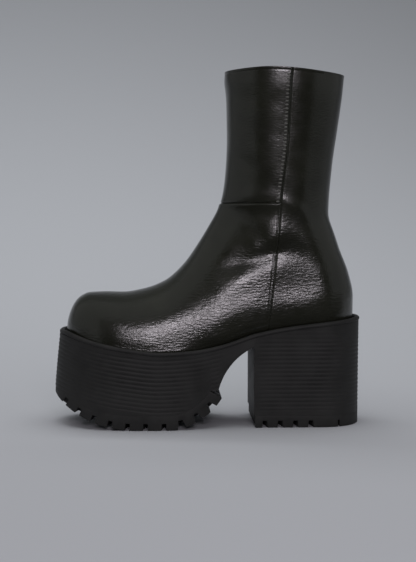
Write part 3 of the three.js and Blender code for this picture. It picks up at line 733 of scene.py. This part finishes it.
def moulded_rubber(colour, name, roughness, gloss=0.22):
    """Black moulded rubber with a fine tooth, a little dusty."""
    colour = tuple(colour)
    material, tree, shader = new_material(name, colour, roughness)
    shader.inputs["Specular IOR Level"].default_value = gloss
    dust = object_noise(tree, scale=60.0, detail=5.0)
    mottle_and_painted_shade(tree, shader, remapped(tree, dust, *NOISE_SPAN), colour, 0.85, 1.25)
    dull = remapped(
        tree, dust, *NOISE_SPAN, to_low=roughness - 0.07, to_high=roughness + 0.08,
    )
    tree.links.new(dull, shader.inputs["Roughness"])
    tooth = object_noise(tree, scale=1500.0, detail=2.0)
    bumped(tree, shader, tooth, strength=0.12, distance=0.0003)
    return material


# the thread's pale grey is partly a painted highlight of the puckered leather beside the seam
def thread_with_painted_highlight(colours):
    material, tree, shader = new_material("thread_with_painted_highlight", tuple(colours.thread_and_highlight), roughness=0.5)
    twist = object_noise(tree, scale=2200.0, detail=2.0, stretch=(1, 1, 3))
    bumped(tree, shader, twist, strength=0.3, distance=0.0002)
    return material


# ------------------------------------------------------------------ operators

class BOOT_OT_upper(bpy.types.Operator):
    """Lays the leather over the last, with its seams and creases, and gives it a wall"""

    bl_idname = "boot.upper"
    bl_label = "Leather upper"

    def execute(self, context):
        sizes = context.scene.boot_sizes
        colours = context.scene.boot_colours
        places = even_sections(sizes.rings)
        around = np.linspace(0, 1, sizes.around + 1)
        s, t = np.meshgrid(places, around, indexing="ij")
        piece = grid_piece("boot_upper", last_points(s, t))
        for name, values in (("row", s), ("turn", t)):
            layer = piece.data.attributes.new(name, "FLOAT", "POINT")
            layer.data.foreach_set("value", values.astype(np.float32).ravel())
        subdivide_near(piece, beside_seams, FINER_CUTS)
        skin = last_points(read_layer(piece, "row"), read_layer(piece, "turn"))
        piece.data.vertices.foreach_set("co", (skin * MM).astype(np.float32).ravel())
        close_doubles(piece)
        skin = read_points(piece)
        normal = read_normals(piece)
        centre = np.stack([skin[:, 0], centre_line(skin[:, 0]), skin[:, 2]], -1)
        if float(np.sum(normal * (skin - centre))) < 0:
            raise RuntimeError("the upper faces inwards")
        skin = skin + normal * relief(skin, sizes)[:, None]
        piece.data.vertices.foreach_set("co", (skin * MM).astype(np.float32).ravel())
        for name in ("row", "turn"):
            piece.data.attributes.remove(piece.data.attributes[name])
        wall = piece.modifiers.new("wall", "SOLIDIFY")
        wall.thickness = sizes.wall
        wall.offset = -1
        wall.use_rim = True
        wall.material_offset = 1
        wall.material_offset_rim = 0
        finish_piece(piece, [boot_leather(colours), boot_lining(colours)], "leather", "upper")
        apply_modifiers(piece)
        smooth_by_angle(piece, LEATHER_ANGLE)
        deselect()
        return {"FINISHED"}


class BOOT_OT_stitches(bpy.types.Operator):
    """Sews the row of stitches beside the side seam, each one a short raised oval of pale thread,
    whose paleness is partly a painted highlight of the puckered leather
    """

    bl_idname = "boot.stitches"
    bl_label = "Side stitches"

    def execute(self, context):
        sizes = context.scene.boot_sizes
        colours = context.scene.boot_colours
        skin, outward = seam_samples(sizes)
        count = int((STITCHED_TO - STITCHED_FROM) / STITCH_PITCH)
        ticks = []
        for i in range(count):
            height = STITCHED_FROM + (i + 0.5) * STITCH_PITCH
            place, normal = on_skin(
                skin, outward, float(seam_x(height)) - STITCH_SETBACK, height,
            )
            deselect()
            bpy.ops.mesh.primitive_uv_sphere_add(
                segments=8, ring_count=5, radius=1, location=(0, 0, 0),
            )
            tick = context.object
            tick.scale = [half * MM for half in STITCH_HALVES]
            bpy.ops.object.transform_apply(location=False, rotation=False, scale=True)
            tick.rotation_mode = "QUATERNION"
            tick.rotation_quaternion = Vector((0, -1, 0)).rotation_difference(Vector(normal))
            tick.location = Vector(place) * MM + Vector(normal) * STITCH_PROUD * MM
            bpy.ops.object.transform_apply(location=True, rotation=True, scale=True)
            ticks.append(tick)
        deselect()
        for tick in ticks:
            tick.select_set(True)
        context.view_layer.objects.active = ticks[0]
        bpy.ops.object.join()
        piece = context.object
        piece.name = "side_stitches"
        smooth_by_angle(piece, STITCH_ANGLE)
        finish_piece(piece, [thread_with_painted_highlight(colours)], "leather")
        return {"FINISHED"}


def seam_samples(sizes):
    """Points of the outer side and which way they face, for laying stitches on it."""
    s, t = np.meshgrid(np.linspace(*SAMPLE_ROWS), np.linspace(*SAMPLE_TURNS), indexing="ij")
    skin = last_points(s, t)
    normal = np.cross(np.gradient(skin, axis=0), np.gradient(skin, axis=1))
    normal /= np.maximum(np.linalg.norm(normal, axis=-1, keepdims=True), 1e-9)
    normal *= np.where(normal[..., 1:2] > 0, -1, 1)
    skin = skin + normal * relief(skin, sizes)[..., None]
    return skin.reshape(-1, 3), normal.reshape(-1, 3)


def on_skin(skin, outward, x, z):
    """The nearest sample's place and facing, moved to this x and height."""
    i = int(np.argmin((skin[:, 0] - x) ** 2 + (skin[:, 2] - z) ** 2))
    return (x, float(skin[i, 1]), z), outward[i]


def wall_bottom(x):
    """Lower edge of the platform's wall: over the tread, up the arch, or down to the heel."""
    x = np.asarray(x, float)
    u = np.clip((FLAT_FRONT - x) / TOE_PARTING_LONG, 0, 0.999)
    toe = JOINT_HEIGHT + TOE_PARTING_HIGH * (1 - np.sqrt(1 - u ** 2))
    radius = ROCKER_RADIUS - JOINT_HEIGHT
    v = np.clip((x - FLAT_BACK) / radius, 0, math.sin(ROCKER_ANGLE))
    ball = ROCKER_RADIUS - radius * np.sqrt(1 - v ** 2)
    joint = np.where(x < FLAT_BACK, toe, ball)
    away = np.clip(1 - ((x - ARCH_X) / ARCH_RADIUS) ** 2, 0, 1)
    arch = ARCH_Z + ARCH_RADIUS * np.sqrt(away)
    return np.where(x < ARCH_FRONT, joint, np.where(x < BREAST, arch, HEEL_BOTTOM))


def rib_relief(x, z, sizes):
    """Grooves between the ribs: along the rim on the forefoot, level round the heel."""
    pitch = sizes.rib_pitch / MM
    drop = rim_height(x) - z
    front = 0.5 + 0.5 * np.cos(2 * math.pi * drop / pitch)
    rear = 0.5 + 0.5 * np.cos(2 * math.pi * z / pitch)
    front_on = smooth_step(drop, *RIB_TOP) * (1 - smooth_step(drop, *RIB_FOOT))
    front_on = front_on * (1 - WAIST_LOSS * smooth_step(x, *RIB_WAIST))
    front_on = front_on * (1 - smooth_step(x, *RIB_END))
    rear_on = smooth_step(z, *HEEL_RIB_FOOT) * (1 - HEEL_TOP_LOSS * smooth_step(z, *HEEL_RIB_CALM))
    rear_on = rear_on * (1 - smooth_step(z, *HEEL_RIB_TOP)) * smooth_step(x, *HEEL_RIB_START)
    back_share = (1 - HEEL_FRONT_SHARE) * smooth_step(x, *HEEL_RIB_BACK)
    rear_on = rear_on * (HEEL_FRONT_SHARE + back_share)
    grooves = front ** RIB_SHARPNESS * front_on + rear ** RIB_SHARPNESS * rear_on
    return -(sizes.rib_depth / MM) * grooves


# profile of the rim's bead: depth below the top, and how far in from the wall
BEAD = (
    (3.5, 0.35), (3.0, -0.1), (2.3, -0.45), (1.5, -0.4), (0.8, -0.05), (0.25, 0.7), (0.0, 1.9),
    (0.2, 3.1), (0.9, 3.8),
)


class BOOT_OT_platform(bpy.types.Operator):
    """Moulds the platform: ribbed wall, rounded rim, waist, arch and block heel"""

    bl_idname = "boot.platform"
    bl_label = "Platform"

    def execute(self, context):
        sizes = context.scene.boot_sizes
        colours = context.scene.boot_colours
        turns = (1 - np.cos(np.linspace(0, math.pi, WALL_STATIONS))) / 2
        stations = TOE_TIP + (HEEL_FOOT - TOE_TIP) * turns
        cuts = [BREAST - BREAST_CUT, BREAST + BREAST_CUT, ARCH_FRONT]
        stations = np.sort(np.concatenate([stations, cuts]))
        levels = np.linspace(0, 1, WALL_LEVELS)
        loops = [self.wall_loop(stations, share, sizes) for share in levels]
        loops += [self.rim_loop(stations, drop, inset) for drop, inset in BEAD]
        loops.append(self.rim_loop(stations, RIM_DEPTH, FOOTBED_INSET))
        points = np.stack(loops)
        points = np.concatenate([points, points[:, :1]], axis=1)
        piece = grid_piece("platform_moulding", points)
        self.close_faces(piece, points.shape[1], len(stations), len(loops))
        first = len(levels) * len(points[0])
        for face in piece.data.polygons:
            from_breast = [
                abs(piece.data.vertices[i].co.x / MM - BREAST) for i in face.vertices
            ]
            if min(face.vertices) >= first:
                face.material_index = RIM_SLOT
            # the heel's front face takes the material with painted warm light
            elif max(from_breast) < BREAST_REACH:
                face.material_index = BREAST_SLOT
        close_doubles(piece, distance=0.000004)
        smooth_by_angle(piece, WALL_ANGLE)
        finish_piece(
            piece,
            [
                moulded_rubber(colours.rubber, "platform_rubber", 0.56),
                moulded_rubber(colours.rubber, "rim_rubber", 0.34),
                # painted warm light on the heel's front face
                moulded_rubber(colours.breast_painted_light, "heel_front_painted_light", 0.75, gloss=0.08),
            ],
            "platform_rubber", "platform",
        )
        return {"FINISHED"}

    def half_width(self, x, toe, heel, inset):
        shape = rounding(x, TOE_START, toe, TOE_ROUND) * rounding(x, HEEL_START, heel, HEEL_ROUND)
        return ((plan_inner(x) - plan_outer(x)) / 2 - inset) * shape

    def ring(self, x, z, toe, heel, inset, sizes=None):
        """One level loop from the toe back along the outer side and home along the inner."""
        place = toe + (x - TOE_TIP) / (HEEL_FOOT - TOE_TIP) * (heel - toe)
        centre = centre_line(place)
        half = self.half_width(place, toe, heel, inset)
        outer = np.stack([place, centre - half, z], -1)
        inner = np.stack([place, centre + half, z], -1)
        loop = np.concatenate([outer, inner[1:-1][::-1]])
        if sizes is not None:
            ahead = np.roll(loop, -1, axis=0) - np.roll(loop, 1, axis=0)
            away = np.stack([ahead[:, 1], -ahead[:, 0], np.zeros(len(loop))], -1)
            away /= np.maximum(np.linalg.norm(away, axis=1, keepdims=True), 1e-9)
            if float(np.sum(away * (loop - loop.mean(axis=0)))) < 0:
                away = -away
            loop = loop + away * rib_relief(loop[:, 0], loop[:, 2], sizes)[:, None]
        return loop

    def wall_loop(self, x, share, sizes):
        low = wall_bottom(x)
        high = rim_height(x) - BEAD[0][0] - BEAD_GAP
        z = low + (high - low) * share
        flare = np.clip((z - FLARE_TOP) / (high - FLARE_TOP), 0, 1)
        toe = TOE_TIP + (RIM_TOE - BEAD_GAP - TOE_TIP) * share ** TOE_CURVE
        heel = HEEL_FOOT + (RIM_HEEL - HEEL_STAND - HEEL_FOOT) * share
        inset = -WALL_FLARE + WALL_FLARE * float(flare.mean())
        return self.ring(x, z, toe, heel, inset, sizes)

    def rim_loop(self, x, drop, inset):
        return self.ring(x, rim_height(x) - drop, RIM_TOE + inset, RIM_HEEL - inset, inset)

    def close_faces(self, piece, columns, stations, rows):
        """Closes the underside and the footbed with strips from side to side."""
        mesh = bmesh.new()
        mesh.from_mesh(piece.data)
        mesh.verts.ensure_lookup_table()
        loop = columns - 1
        for row in (0, rows - 1):
            for i in range(stations - 1):
                ids = [i, i + 1, (loop - i - 1) % loop, (loop - i) % loop]
                verts = []
                for each in ids:
                    vert = mesh.verts[row * columns + each]
                    if vert not in verts:
                        verts.append(vert)
                if len(verts) >= 3:
                    mesh.faces.new(verts)
        mesh.to_mesh(piece.data)
        mesh.free()


class BOOT_OT_treads(bpy.types.Operator):
    """Rounds the edges of the two lugged treads"""

    bl_idname = "boot.treads"
    bl_label = "Treads"

    def execute(self, context):
        sizes = context.scene.boot_sizes
        colours = context.scene.boot_colours
        rubber = moulded_rubber(colours.rubber, "tread_rubber", 0.62)
        for node, name in TREADS:
            piece = bpy.data.objects.new(name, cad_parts[node].data.copy())
            context.scene.collection.objects.link(piece)
            only(piece)
            bpy.ops.object.mode_set(mode="EDIT")
            bpy.ops.mesh.select_all(action="SELECT")
            bpy.ops.mesh.remove_doubles(threshold=TREAD_WELD)
            bpy.ops.mesh.select_all(action="SELECT")
            bpy.ops.mesh.dissolve_limited(angle_limit=math.radians(TREAD_FLAT))
            bpy.ops.object.mode_set(mode="OBJECT")
            bevel = piece.modifiers.new("edge", "BEVEL")
            bevel.width = sizes.lug_edge
            bevel.segments = 2
            bevel.limit_method = "ANGLE"
            bevel.angle_limit = math.radians(TREAD_SHARP)
            apply_modifiers(piece)
            smooth_by_angle(piece, TREAD_ANGLE)
            finish_piece(piece, [rubber], "tread_rubber", node)
        return {"FINISHED"}


class BOOT_OT_insole(bpy.types.Operator):
    """Gives the insole its leather sock"""

    bl_idname = "boot.insole"
    bl_label = "Insole"

    def execute(self, context):
        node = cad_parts["insole"]
        sock = boot_lining(context.scene.boot_colours)
        sock.name = "insole_sock"
        if not node.material_slots:
            raise RuntimeError("the insole has no material slot")
        for each in node.material_slots:
            each.material = sock
        return {"FINISHED"}


class BOOT_OT_stage(bpy.types.Operator):
    """Sets the plain floor and backdrop, the soft lights and the camera"""

    bl_idname = "boot.stage"
    bl_label = "Stage"

    def execute(self, context):
        scene = context.scene
        self.room(tuple(scene.boot_colours.room))
        for light in LIGHTS:
            self.soft_light(*light)
        self.cloths()
        world = bpy.data.worlds.new("room_light")
        world.use_nodes = True
        sky = world.node_tree.nodes["Background"]
        sky.inputs["Color"].default_value = (*SKY_COLOUR, 1)
        sky.inputs["Strength"].default_value = SKY_STRENGTH
        scene.world = world
        scene.view_settings.view_transform = "Standard"
        scene.camera = self.camera()
        return {"FINISHED"}

    def room(self, colour):
        """A floor that sweeps up into the backdrop."""
        deselect()
        bpy.ops.mesh.primitive_plane_add(size=ROOM_SIZE, location=FLOOR_PLACE)
        floor = bpy.context.object
        floor.name = "floor"
        bpy.ops.object.mode_set(mode="EDIT")
        bpy.ops.mesh.select_all(action="DESELECT")
        bpy.ops.object.mode_set(mode="OBJECT")
        for edge in floor.data.edges:
            ends = [floor.data.vertices[i].co.y for i in edge.vertices]
            edge.select = min(ends) > 0
        bpy.ops.object.mode_set(mode="EDIT")
        bpy.ops.mesh.select_mode(type="EDGE")
        bpy.ops.mesh.extrude_region_move(TRANSFORM_OT_translate={"value": (0, 0, ROOM_HEIGHT)})
        bpy.ops.object.mode_set(mode="OBJECT")
        curve = floor.modifiers.new("sweep", "BEVEL")
        curve.width = ROOM_SWEEP
        curve.segments = SWEEP_SEGMENTS
        apply_modifiers(floor)
        bpy.ops.object.transform_apply(location=True, rotation=True, scale=True)
        smooth_by_angle(floor, ROOM_ANGLE)
        material, tree, shader = new_material("room", colour, roughness=0.9)
        # painted shade: the backdrop's colour darkens with height
        backdrop_shade = remapped(tree, height_above_floor(tree), 0.0, ROOM_SHADE_TOP)
        mottle_and_painted_shade(tree, shader, backdrop_shade, colour, 1.0, ROOM_SHADE)
        shader.inputs["Specular IOR Level"].default_value = 0.1
        floor.data.materials.append(material)

    def soft_light(self, name, place, target, wide, high, power, colour, in_gloss):
        deselect()
        bpy.ops.object.light_add(type="AREA", location=place)
        light = bpy.context.object
        light.name = name
        light.data.shape = "RECTANGLE"
        light.data.size = wide
        light.data.size_y = high
        light.data.energy = power
        light.data.color = colour
        away = Vector(place) - Vector(target)
        light.rotation_euler = away.to_track_quat("Z", "Y").to_euler()
        light.visible_glossy = in_gloss

    def cloths(self):
        """Black cloths out of the camera's sight: one shades the boot, both darken its gloss."""
        material = new_material("black_cloth", CLOTH_BLACK, roughness=1.0)[0]
        for name, place, turn, high, shades in CLOTHS:
            deselect()
            bpy.ops.mesh.primitive_plane_add(
                size=1, location=place, rotation=(math.radians(turn), 0, 0),
            )
            cloth = bpy.context.object
            cloth.name = name
            cloth.scale = (CLOTH_WIDTH, high, 1)
            bpy.ops.object.transform_apply(location=True, rotation=True, scale=True)
            cloth.data.materials.append(material)
            cloth.visible_camera = False
            cloth.visible_diffuse = shades
            cloth.visible_shadow = shades

    def camera(self):
        azimuth = math.radians(CAMERA_AZIMUTH)
        elevation = math.radians(CAMERA_ELEVATION)
        back = Vector((
            math.sin(azimuth) * math.cos(elevation),
            -math.cos(azimuth) * math.cos(elevation),
            math.sin(elevation),
        ))
        deselect()
        bpy.ops.object.camera_add(location=Vector(TARGET) + back * CAMERA_DISTANCE)
        camera = bpy.context.object
        camera.name = "camera"
        camera.rotation_euler = back.to_track_quat("Z", "Y").to_euler()
        camera.data.lens = CAMERA_LENS
        camera.data.sensor_width = CAMERA_SENSOR
        camera.data.sensor_fit = "AUTO"
        camera.data.clip_end = CAMERA_FAR
        return camera


class BOOT_PT_panel(bpy.types.Panel):
    """Lists the boot's pieces in the sidebar"""

    bl_idname = "BOOT_PT_panel"
    bl_label = "Platform boot"
    bl_space_type = "VIEW_3D"
    bl_region_type = "UI"
    bl_category = "Boot"

    def draw(self, context):
        layout = self.layout
        for group in (context.scene.boot_sizes, context.scene.boot_colours):
            for name in group.__annotations__:
                layout.prop(group, name)
        for operator in OPERATORS:
            layout.operator(operator.bl_idname)


OPERATORS = (
    BOOT_OT_upper, BOOT_OT_stitches, BOOT_OT_platform, BOOT_OT_treads, BOOT_OT_insole,
    BOOT_OT_stage,
)
CLASSES = (BootSizes, BootColours, *OPERATORS, BOOT_PT_panel)


def register():
    for each in CLASSES:
        bpy.utils.register_class(each)
    bpy.types.Scene.boot_sizes = PointerProperty(type=BootSizes)
    bpy.types.Scene.boot_colours = PointerProperty(type=BootColours)


def unregister():
    del bpy.types.Scene.boot_colours
    del bpy.types.Scene.boot_sizes
    for each in reversed(CLASSES):
        bpy.utils.unregister_class(each)


def main():
    register()
    bpy.ops.boot.upper()
    bpy.ops.boot.stitches()
    bpy.ops.boot.platform()
    bpy.ops.boot.treads()
    bpy.ops.boot.insole()
    bpy.ops.boot.stage()


if __name__ == "__main__":
    main()
